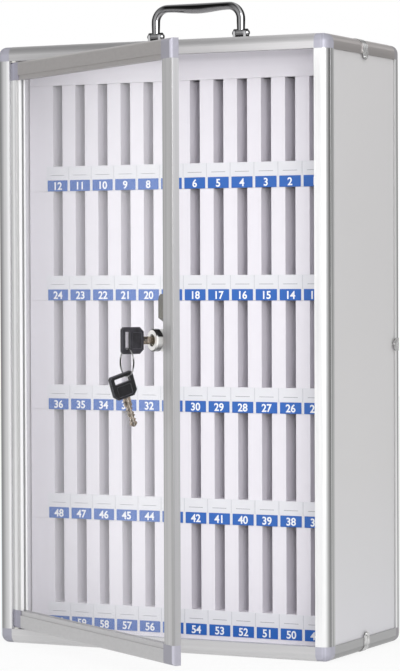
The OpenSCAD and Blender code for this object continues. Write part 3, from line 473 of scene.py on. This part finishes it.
FINISHES = {
    # Edge profile of the cabinet and the door: one aluminium, in lit and shaded copies with
    # painted reflections
    "profile_left": brushed("profile_left", "z", colour=(0.83, 0.83, 0.84),
                            turned=[(RIGHT, POST_ROUNDING)],
                            across=[(RIGHT, -BOX_W / 2, -BOX_W / 2 + RAIL_W, LEFT_LINES)]),
    "profile_lit": brushed("profile_lit", "z", colour=(0.97, 0.97, 0.975), metallic=0.65,
                           turned=[(RIGHT, LIT_ROUNDING)],
                           across=[(BACK, FRONT_Y, FRONT_Y + RAIL_W, LIT_SIDE)]),
    "profile_rear": brushed("profile_rear", "z", colour=(0.82, 0.815, 0.82),
                            turned=[(RIGHT, REAR_ROUNDING)],
                            across=[(BACK, FRONT_Y + BOX_D - RAIL_W, FRONT_Y + BOX_D,
                                     REAR_SIDE)]),
    "profile_inner": brushed("profile_inner", "z", colour=(0.90, 0.90, 0.91), metallic=0.1),
    "profile_across": brushed("profile_across", "x"),
    "profile_top": brushed("profile_top", "x", colour=(0.75, 0.74, 0.75),
                           turned=[(UP, TOP_ROUNDING)],
                           across=[(RIGHT, -BOX_W / 2, BOX_W / 2, TOP_LINES)]),
    "profile_deep": brushed("profile_deep", "y", colour=(0.575, 0.537, 0.526),
                            turned=[(UP, DEEP_ROUNDING)],
                            across=[(UP, 0, BOX_H, DEEP_HEIGHTS)]),
    "door_profile": brushed("door_profile", "z", colour=(0.505, 0.50, 0.505), metallic=0.5,
                            turned=[(DOOR_END, DOOR_ROUNDING)],
                            across=[(DOOR_END, FREE_EDGE - STILE_W, FREE_EDGE, FREE_LINES)]),
    "door_hinge_profile": brushed("door_hinge_profile", "z", colour=(0.98, 0.98, 0.985),
                                  metallic=0.4,
                                  across=[(DOOR_END, HINGE_EDGE, HINGE_EDGE + STILE_W,
                                           HINGE_LINES)]),
    "door_end": brushed("door_end", "z", colour=(0.59, 0.585, 0.60), metallic=0.4,
                        turned=[(DOOR_END, DOOR_ROUNDING)],
                        across=[(UP, 0, BOX_H, END_HEIGHTS)]),
    "door_profile_across": brushed("door_profile_across", "x", DOOR_ANGLE,
                                   colour=SHADED_DOOR_ALUMINIUM, metallic=0.5),
    "door_profile_top": brushed("door_profile_top", "x", DOOR_ANGLE,
                                colour=(0.36, 0.343, 0.338), metallic=0.5),
    # Corner pieces: one plastic, in lit and shaded copies with painted highlights and shade
    "corner": moulded("corner", (0.53, 0.525, 0.61),
                      turned=[(VIEW_RIGHT, CORNER_HIGHLIGHTS), (UP, CORNER_LIGHT)],
                      across=[(RIGHT, -BOX_W / 2, BOX_W / 2, CORNER_SIDES)]),
    "corner_rear": moulded("corner_rear", (0.30, 0.288, 0.305)),
    "corner_hinge": moulded("corner_hinge", (0.36, 0.352, 0.425), metallic=0.25, spread=0.04,
                            across=[(DOOR_END, HINGE_EDGE, HINGE_EDGE + STILE_W, CAP_LINES)]),
    "corner_free": moulded("corner_free", (0.54, 0.53, 0.61), metallic=0.25,
                           turned=[(DOOR_END, FREE_ROUNDING)]),
    # Sheets
    "panel": finish("panel", (0.705, 0.70, 0.715), 0.40, spread=0.012, grain=1100, relief=0.008,
                    edge=0.3, patch=4.0, across=[(UP, 0, BOX_H, PANEL_HEIGHTS)]),
    "lining": coated("lining", (0.745, 0.73, 0.765)),
    "shelf": coated("shelf", (0.83, 0.805, 0.855)),
    # The fascia board is the shelves' plastic made lighter as painted light, with its painted
    # shade near the top
    "fascia": coated("fascia", (0.90, 0.875, 0.925),
                     across=[(UP, BOX_H - FASCIA_LOW, BOX_H - FASCIA_HIGH, FASCIA_HEIGHTS)]),
    # Labels
    "card": finish("card", (0.785, 0.785, 0.82), 0.55, spread=0.015, grain=2200, relief=0.006,
                   edge=0.0),
    "bar": finish("bar", (0.018, 0.122, 0.47), 0.35, spread=0.04, grain=2200, relief=0.004,
                  edge=0.0),
    "print_white": finish("print_white", (0.90, 0.91, 0.93), 0.5, spread=0.01, edge=0.0),
    "print_grey": finish("print_grey", (0.26, 0.26, 0.30), 0.6, spread=0.03, edge=0.0),
    "print_line": finish("print_line", (0.55, 0.55, 0.59), 0.6, spread=0.03, edge=0.0),
    # Door pane
    "pane": clear_sheet("pane", (0.96, 0.96, 0.98), 0.058, 0.45),
    # Fittings, lock and keys. The colours given for their sharp edges are painted highlights and
    # painted dark reflections
    "steel": finish("steel", (0.62, 0.62, 0.63), 0.25, metallic=1.0, spread=0.04, grain=700,
                    relief=0.01, edge=0.2, bands=PLATED),
    "clip": finish("clip", (0.80, 0.79, 0.78), 0.2, metallic=0.8, spread=0.3, grain=700,
                   relief=0.01, edge=0.3, painted_edge=(0.14, 0.135, 0.13), patch=220,
                   turned=[(UP, CLIP_STRIPES)]),
    "nickel": finish("nickel", (0.97, 0.95, 0.93), 0.16, metallic=0.35, spread=0.05,
                     grain=500, relief=0.008, edge=0.25, painted_edge=(0.10, 0.09, 0.08),
                     turned=[(UP, NICKEL_STRIPES)]),
    "nickel_face": finish("nickel_face", (0.97, 0.96, 0.94), 0.22, metallic=0.4, spread=0.03,
                          grain=500, relief=0.008, edge=0.3, painted_edge=(0.10, 0.09, 0.07)),
    "nickel_plug": finish("nickel_plug", (0.10, 0.088, 0.05), 0.2, metallic=0.8, spread=0.5,
                          grain=500, relief=0.008, edge=0.4, painted_edge=(0.9, 0.88, 0.80), patch=260),
    "yellow_zinc": finish("yellow_zinc", (0.036, 0.030, 0.008), 0.5, spread=0.3, grain=600,
                          relief=0.01, edge=0.25, specular=0.2, patch=60),
    "blade": finish("blade", (0.33, 0.275, 0.225), 0.24, metallic=0.8, spread=0.85, grain=900,
                    relief=0.01, edge=0.45, patch=260, painted_edge=(0.95, 0.90, 0.85)),
    "bow": finish("bow", (0.010, 0.0098, 0.012), 0.34, spread=0.5, grain=1500, relief=0.04,
                  edge=0.5, painted_edge=(0.17, 0.17, 0.20), specular=0.3, patch=120),
    "bow_lit": finish("bow_lit", (0.034, 0.032, 0.040), 0.38, spread=0.5, grain=1500,
                      relief=0.05, edge=0.5, painted_edge=(0.12, 0.12, 0.14), specular=0.3, patch=120),
    "wire": finish("wire", (0.80, 0.80, 0.81), 0.2, metallic=0.9, spread=0.3, grain=700,
                   relief=0.01, edge=0.0, patch=95, bands=WIRE,
                   across=[(UP, RING_LOW, RING_HIGH, WIRE_HEIGHTS)]),
    "washer": finish("washer", (0.80, 0.79, 0.75), 0.5, edge=0.2),
    # Handle
    "chrome_bar": finish("chrome_bar", (0.90, 0.90, 0.92), 0.10, metallic=1.0, spread=0.02,
                         grain=300, relief=0.004, edge=0.0, bar=True),
    "chrome": finish("chrome", (0.90, 0.90, 0.92), 0.10, metallic=1.0, spread=0.02, grain=300,
                     relief=0.004, edge=0.3, bands=FITTING, painted_edge=BLACK_EDGE),
}

# The first entry that a node's name starts with gives its finish
NODE_FINISH = {
    "front_post_right": "profile_lit",
    "front_post_left": "profile_left",
    "rear_post_": "profile_rear",
    "front_rail_top": "profile_top",
    "front_rail_": "profile_across",
    "rear_rail_": "profile_across",
    "side_rails_": "profile_deep",
    "front_corner_": "corner",
    "rear_corners": "corner_rear",
    "side_panel_": "panel",
    "top_panel": "panel",
    "bottom_panel": "panel",
    "back_panel": "panel",
    "shelf_brackets": "steel",
    "shelf_": "shelf",
    "dividers_": "shelf",
    "top_fascia": "fascia",
    "label_strips": "card",
    "edge_clips": "clip",
    "door_hinge_stile": "door_hinge_profile",
    "door_free_stile": "door_profile",
    "door_top_rail": "door_profile_top",
    "door_bottom_rail": "door_profile_across",
    "door_corner_": "corner_hinge",
    "door_corners_free": "corner_free",
    "door_pane": "pane",
    "hinge_pins": "steel",
    "hinge_washers": "washer",
    "lock_body": "nickel",
    "lock_nut": "nickel",
    "lock_plug": "nickel_plug",
    "lock_cam": "yellow_zinc",
    "cam_screw": "nickel",
    "key_blade": "blade",
    "spare_key_blade": "blade",
    "key_bow": "bow_lit",
    "spare_key_bow": "bow",
    "key_ring": "wire",
    "handle_loop": "chrome",
    "handle_brackets": "chrome",
    "handle_pins": "chrome",
    "handle_screws": "steel",
}

# Faces of a node that get another material: the direction they look in. The panels' inner faces
# get the lining and the lock's front face the nickel without its painted stripes; the free stile's
# end and the left post's inner side get lit copies of their profile, which paint light on them
FACE_FINISH = {
    "side_panel_left": (RIGHT, "lining"),
    "side_panel_right": (LEFT, "lining"),
    "top_panel": (DOWN, "lining"),
    "bottom_panel": (UP, "lining"),
    "back_panel": (FRONT, "lining"),
    "lock_body": (DOOR_FACE, "nickel_face"),
    "door_free_stile": (DOOR_END, "door_end"),
    "front_post_left": (RIGHT, "profile_inner"),
}
# A face looks in a direction when the cosine between them is over this
LOOKS_THERE = 0.9


def dress_nodes():
    """Give every CAD node its finish, and some of its faces one of their own."""
    for name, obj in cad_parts.items():
        key = next(k for k in NODE_FINISH if name.startswith(k))
        obj.data.materials.clear()
        obj.data.materials.append(FINISHES[NODE_FINISH[key]])
        if name in FACE_FINISH:
            looks_to, finish_name = FACE_FINISH[name]
            obj.data.materials.append(FINISHES[finish_name])
            for polygon in obj.data.polygons:
                if polygon.normal.dot(Vector(looks_to)) > LOOKS_THERE:
                    polygon.material_index = 1


# Pieces
def piece(name, mesh, finish_name, body, smooth=False):
    """Put a mesh in the scene as a piece of the visual model that rides on a body."""
    obj = bpy.data.objects.new(name, mesh)
    bpy.context.scene.collection.objects.link(obj)
    mesh.materials.append(FINISHES[finish_name])
    for polygon in mesh.polygons:
        polygon.use_smooth = smooth
    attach(obj, body)
    return obj


def mesh_from(bm, name):
    """Turn finished editing data into a mesh whose faces look outwards."""
    bmesh.ops.recalc_face_normals(bm, faces=bm.faces)
    mesh = bpy.data.meshes.new(name)
    bm.to_mesh(mesh)
    bm.free()
    return mesh


CORNER_STEPS = 5
SMALLEST_R = 0.05


def rounded_outline(width, height, radius):
    """Corner-rounded rectangle around the origin, as points in a plane."""
    points = []
    for quarter in range(4):
        sx = 1 if quarter in (0, 3) else -1
        sy = 1 if quarter in (0, 1) else -1
        cx, cy = sx * (width / 2 - radius), sy * (height / 2 - radius)
        for i in range(CORNER_STEPS + 1):
            a = math.radians(90) * (quarter + i / CORNER_STEPS)
            points.append((cx + radius * math.cos(a), cy + radius * math.sin(a)))
    return points


def add_skin(bm, loops):
    """Join each closed loop of corners to the next one with a band of faces."""
    count = len(loops[0])
    for low, high in zip(loops, loops[1:]):
        for i in range(count):
            j = (i + 1) % count
            bm.faces.new((low[i], low[j], high[j], high[i]))


def add_plate(bm, centre, width, height, radius, back_y, front_y, chamfer):
    """A thin plate facing -Y with rounded corners and a small chamfer round its face."""
    rings = [(0.0, back_y), (0.0, front_y + chamfer), (chamfer, front_y)]
    made = []
    for inset, y in rings:
        outline = rounded_outline(width - 2 * inset, height - 2 * inset,
                                  max(SMALLEST_R, radius - inset))
        made.append([bm.verts.new(Vector((centre[0] + u, y, centre[1] + v)) * MM)
                     for u, v in outline])
    add_skin(bm, made)
    bm.faces.new(made[-1])
    bm.faces.new(list(reversed(made[0])))


CARD_W = 27.6
CARD_H = 14.9
CARD_T = 0.25
CARD_R = 0.6
CARD_DROP = 0.3
BAR_W = 25.3
BAR_H = 12.2
BAR_T = 0.35
BAR_R = 0.5
CARD_CHAMFER = 0.08
# The write-on line lies below the card's middle, and a cut line between every two cards
WRITE_LINE_W = 17.0
WRITE_LINE_H = 0.45
WRITE_LINE_T = 0.03
WRITE_LINE_DROP = 2.2
CUT_LINE_W = 0.45
CUT_LINE_T = 0.05
LINE_R = 0.1
LINE_CHAMFER = 0.01
# Each figure's height, half thickness, extra boldness and lift off its bar
DIGIT_H = 8.6
DIGIT_HALF_T = 0.04
DIGIT_BOLD = 0.28
DIGIT_LIFT = 0.03
# The built-in font's figures are this share of its size
FIGURE_SHARE = 0.73
CURVE_STEPS = 4


def make_labels():
    """White write-on cards over blue number bars, one pair under every slot."""
    cards, bars, lines, cuts = bmesh.new(), bmesh.new(), bmesh.new(), bmesh.new()
    card_front = LABEL_FACE_Y - CARD_T
    for row in range(ROWS):
        low = strip_z(row)
        card_z = low + STRIP_H - CARD_H / 2 - CARD_DROP
        for column in range(COLUMNS):
            x = column_x(column)
            add_plate(cards, (x, card_z), CARD_W, CARD_H, CARD_R, LABEL_FACE_Y, card_front,
                      CARD_CHAMFER)
            add_plate(bars, (x, low + BAR_H / 2), BAR_W, BAR_H, BAR_R, LABEL_FACE_Y,
                      LABEL_FACE_Y - BAR_T, CARD_CHAMFER)
            add_plate(lines, (x, card_z - WRITE_LINE_DROP), WRITE_LINE_W, WRITE_LINE_H, LINE_R,
                      card_front, card_front - WRITE_LINE_T, LINE_CHAMFER)
        for column in range(1, COLUMNS):
            x = column_x(column) - COL_PITCH / 2
            add_plate(cuts, (x, card_z), CUT_LINE_W, CARD_H, LINE_R, LABEL_FACE_Y,
                      LABEL_FACE_Y - CUT_LINE_T, LINE_CHAMFER)
    piece("label_cards", mesh_from(cards, "label_cards"), "card", "cabinet")
    piece("number_bars", mesh_from(bars, "number_bars"), "bar", "cabinet")
    piece("write_on_lines", mesh_from(lines, "write_on_lines"), "print_grey", "cabinet")
    piece("card_lines", mesh_from(cuts, "card_lines"), "print_line", "cabinet")


def make_numbers():
    """Plain slot numbers, counted from the lock side in every row."""
    curve = bpy.data.curves.new("figure", "FONT")
    curve.size = DIGIT_H / FIGURE_SHARE * MM
    curve.extrude = DIGIT_HALF_T * MM
    curve.offset = DIGIT_BOLD * MM
    curve.align_x = "CENTER"
    curve.resolution_u = CURVE_STEPS
    source = bpy.data.objects.new("figure", curve)
    bpy.context.scene.collection.objects.link(source)
    upright = Euler((math.radians(90), 0, 0)).to_matrix().to_4x4()
    whole = bmesh.new()
    for row in range(ROWS):
        for column in range(COLUMNS):
            curve.body = str((row + 1) * COLUMNS - column)
            bpy.context.view_layer.update()
            shape = source.evaluated_get(bpy.context.evaluated_depsgraph_get())
            mesh = bpy.data.meshes.new_from_object(shape)
            place = Vector((column_x(column), LABEL_FACE_Y - BAR_T - DIGIT_LIFT,
                            strip_z(row) + (BAR_H - DIGIT_H) / 2)) * MM
            mesh.transform(Matrix.Translation(place) @ upright)
            whole.from_mesh(mesh)
            bpy.data.meshes.remove(mesh)
    bpy.data.objects.remove(source)
    bpy.data.curves.remove(curve)
    mesh = bpy.data.meshes.new("slot_numbers")
    whole.to_mesh(mesh)
    whole.free()
    piece("slot_numbers", mesh, "print_white", "cabinet")


# Handle

# The leg's bar starts inside its eye, at this share of the way from the pivot to the shoulder
LEG_START = 0.12
LEG_STEPS = 10
SHOULDER_STEPS = 14
GRIP_STEPS = 36
BAR_SIDES = 40
EYE_SIDES = 48
SHARP_ANGLE = math.radians(40)


def ease(a, b, t):
    """From a to b as t goes from 0 to 1, flat at both ends."""
    return a + (b - a) * (1 - math.cos(math.pi * t)) / 2


def handle_rings():
    """The swept bar as (x, z, direction of its width, half width, half depth)."""
    shoulder_z = GRIP_Z - END_W / 2 - SHOULDER_R
    half = []
    for i in range(LEG_STEPS):
        t = LEG_START + (1 - LEG_START) * i / LEG_STEPS
        half.append((LEG_X, PIVOT_Z + (shoulder_z - PIVOT_Z) * t, 0.0,
                     ease(FOOT_W, LEG_TOP_W, t) / 2, ease(FOOT_D, LEG_TOP_D, t) / 2))
    for i in range(SHOULDER_STEPS):
        t = i / SHOULDER_STEPS
        a = math.pi / 2 * t
        half.append((GRIP_HALF + SHOULDER_R * math.cos(a), shoulder_z + SHOULDER_R * math.sin(a),
                     a, ease(LEG_TOP_W, END_W, t) / 2, ease(LEG_TOP_D, END_D, t) / 2))
    grip = []
    for i in range(GRIP_STEPS + 1):
        x = GRIP_HALF * (1 - 2 * i / GRIP_STEPS)
        share = min(1, abs(x) / GRIP_HALF)
        bulge = ease(MID_W, END_W, share) / 2
        grip.append((x, GRIP_Z - bulge, math.pi / 2, bulge, ease(MID_D, END_D, share) / 2))
    mirrored = [(-x, z, math.pi - a, w, d) for x, z, a, w, d in reversed(half)]
    return half + grip + mirrored


def add_bar(bm):
    """The swept bar, closed at both feet."""
    loops = []
    for x, z, a, w, d in handle_rings():
        loop = []
        for k in range(BAR_SIDES):
            b = 2 * math.pi * k / BAR_SIDES
            s = w * math.cos(b)
            loop.append(bm.verts.new(Vector((x + s * math.cos(a), HANDLE_Y + d * math.sin(b),
                                             z + s * math.sin(a))) * MM))
        loops.append(loop)
    add_skin(bm, loops)
    bm.faces.new(list(reversed(loops[0])))
    bm.faces.new(loops[-1])


def add_eye(bm, middle_x):
    """A drilled eye around the pivot, with chamfered rims."""
    half_l = EYE_L / 2
    rim_r, rim_l = EYE_R - EYE_CHAMFER, half_l - EYE_CHAMFER
    profile = [(EYE_BORE_R, -half_l), (rim_r, -half_l), (EYE_R, -rim_l),
               (EYE_R, rim_l), (rim_r, half_l), (EYE_BORE_R, half_l)]
    rings = []
    for r, u in profile:
        ring = []
        for k in range(EYE_SIDES):
            b = 2 * math.pi * k / EYE_SIDES
            ring.append(bm.verts.new(Vector((middle_x + u, HANDLE_Y + r * math.cos(b),
                                             PIVOT_Z + r * math.sin(b))) * MM))
        rings.append(ring)
    add_skin(bm, rings + rings[:1])


def make_handle():
    """The chromed loop: a bar that swells in its middle, on two drilled eyes."""
    bm = bmesh.new()
    add_bar(bm)
    for side in (-1, 1):
        add_eye(bm, side * LEG_X)
    obj = piece("handle_grip", mesh_from(bm, "handle_grip"), "chrome_bar", "handle", True)
    split = obj.modifiers.new("edges", "EDGE_SPLIT")
    split.split_angle = SHARP_ANGLE
    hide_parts("handle_loop")


# Studio
def is_seen(add, join):
    """A node and its output: 1 for rays from the camera, mirrored ones and ones let through."""
    path = add("ShaderNodeLightPath")
    total = (path, "Is Camera Ray")
    for kind in ("Is Glossy Ray", "Is Transmission Ray"):
        most = add("ShaderNodeMath", operation="MAXIMUM")
        join(total[0], total[1], most, 0)
        join(path, kind, most, 1)
        total = (most, 0)
    return total


# How strongly the white room lights the matte surfaces
WORLD_LEVEL = 0.70
# Grey cards that metal mirrors: each one's direction, the cosines between which its edge fades,
# and its level
CARDS = [
    ((0.927, 0.375, 0.0), 0.985, 0.88, 0.05),
    ((-1.0, 0.05, 0.0), 0.97, 0.80, 0.60),
    ((0.44, 0.898, 0.0), 0.985, 0.90, 0.50),
    ((0.0, 0.0, 1.0), 0.90, 0.35, 0.42),
    ((0.0, 0.75, 0.66), 0.98, 0.85, 0.40),
]


def make_world():
    """Soft white studio with a few grey cards, which only mirrored light shows."""
    world = bpy.data.worlds.new("studio")
    bpy.context.scene.world = world
    add, join = node_tools(world)
    coords = add("ShaderNodeTexCoord")
    level = None
    for towards, near, far, grey in CARDS:
        turn = add("ShaderNodeVectorMath", operation="DOT_PRODUCT")
        turn.inputs[1].default_value = towards
        join(coords, "Generated", turn, 0)
        card = add("ShaderNodeMapRange", interpolation_type="SMOOTHSTEP")
        card.inputs["From Min"].default_value = far
        card.inputs["From Max"].default_value = near
        card.inputs["To Min"].default_value = 1.0
        card.inputs["To Max"].default_value = grey
        join(turn, "Value", card, "Value")
        if level is None:
            level = (card, "Result")
            continue
        least = add("ShaderNodeMath", operation="MINIMUM")
        join(level[0], level[1], least, 0)
        join(card, "Result", least, 1)
        level = (least, 0)
    path = add("ShaderNodeLightPath")
    shown = add("ShaderNodeMixRGB", in_Color1=WHITE)
    join(path, "Is Glossy Ray", shown, "Fac")
    join(level[0], level[1], shown, "Color2")
    white = add("ShaderNodeBackground", in_Strength=1.0)
    join(shown, "Color", white, "Color")
    room = add("ShaderNodeBackground", in_Strength=WORLD_LEVEL)
    room.inputs["Color"].default_value = WHITE
    mix = add("ShaderNodeMixShader")
    seen = is_seen(add, join)
    join(seen[0], seen[1], mix, "Fac")
    join(room, "Background", mix, 1)
    join(white, "Background", mix, 2)
    out = add("ShaderNodeOutputWorld")
    join(mix, "Shader", out, "Surface")


# The floor's paint, the share of it that is seen, and half the floor's width in metres
FLOOR_PAINT = (0.88, 0.88, 0.88, 1)
FLOOR_SHADE = 0.12
FLOOR_HALF = 6


def make_floor():
    """A pale floor that reads white and keeps a faint shadow under the cabinet."""
    material = bpy.data.materials.new("floor")
    add, join = node_tools(material)
    paint = add("ShaderNodeBsdfDiffuse")
    paint.inputs["Color"].default_value = FLOOR_PAINT
    white = add("ShaderNodeEmission", in_Strength=1.0)
    mix = add("ShaderNodeMixShader")
    seen = is_seen(add, join)
    share = add("ShaderNodeMath", operation="MULTIPLY")
    share.inputs[1].default_value = 1 - FLOOR_SHADE
    join(seen[0], seen[1], share, 0)
    join(share, 0, mix, "Fac")
    join(paint, "BSDF", mix, 1)
    join(white, "Emission", mix, 2)
    out = add("ShaderNodeOutputMaterial")
    join(mix, "Shader", out, "Surface")
    bm = bmesh.new()
    bmesh.ops.create_grid(bm, x_segments=1, y_segments=1, size=FLOOR_HALF)
    mesh = bpy.data.meshes.new("floor")
    bm.to_mesh(mesh)
    bm.free()
    mesh.materials.append(material)
    obj = bpy.data.objects.new("floor", mesh)
    bpy.context.scene.collection.objects.link(obj)


def make_lamp(name, place, target, size, power, mirrored=True):
    """A soft rectangular lamp. One that isn't mirrored leaves no bright patch in the metal."""
    lamp = bpy.data.lights.new(name, "AREA")
    lamp.shape = "RECTANGLE"
    lamp.size, lamp.size_y = size
    lamp.energy = power
    obj = bpy.data.objects.new(name, lamp)
    bpy.context.scene.collection.objects.link(obj)
    obj.location = place
    obj.visible_camera = False
    obj.visible_glossy = mirrored
    aim = Vector(target) - Vector(place)
    obj.rotation_euler = aim.to_track_quat("-Z", "Y").to_euler()


# The cabinet's middle, in metres
CENTRE = (0, -0.09, 0.33)


def make_studio():
    """The room, the floor and four lamps, in metres and watts."""
    make_world()
    make_floor()
    make_lamp("front_right", (1.6, -2.5, 1.1), CENTRE, (1.4, 1.4), 30)
    make_lamp("front_left", (-2.0, -1.9, 1.0), CENTRE, (1.3, 1.5), 12, mirrored=False)
    make_lamp("above", (0.3, -0.4, 2.6), CENTRE, (1.6, 1.6), 8, mirrored=False)
    make_lamp("strip", (-0.62, -2.0, 0.35), (0.1, -0.19, 0.35), (0.22, 1.1), 0.8)


# Camera, fitted to the photograph
CAMERA_MM = (1365.75, -2847.86, 402.57)
TARGET_MM = (50.34, -187.5, 342.47)
ROLL = math.radians(-0.213)
LENS = 148.98
SENSOR_W = 36.0
NEAREST, FARTHEST = 0.05, 50


def make_camera():
    """The photograph's view, from the right of the front."""
    data = bpy.data.cameras.new("camera")
    data.lens = LENS
    data.sensor_width = SENSOR_W
    data.sensor_fit = "AUTO"
    data.clip_start = NEAREST
    data.clip_end = FARTHEST
    obj = bpy.data.objects.new("camera", data)
    bpy.context.scene.collection.objects.link(obj)
    place, target = Vector(CAMERA_MM) * MM, Vector(TARGET_MM) * MM
    look = (target - place).to_track_quat("-Z", "Y").to_matrix().to_4x4()
    obj.matrix_world = Matrix.Translation(place) @ look @ Matrix.Rotation(ROLL, 4, "Z")
    bpy.context.scene.camera = obj


# Build
bpy.context.scene.view_settings.view_transform = "Standard"
dress_nodes()
make_labels()
make_numbers()
make_handle()
make_studio()
make_camera()
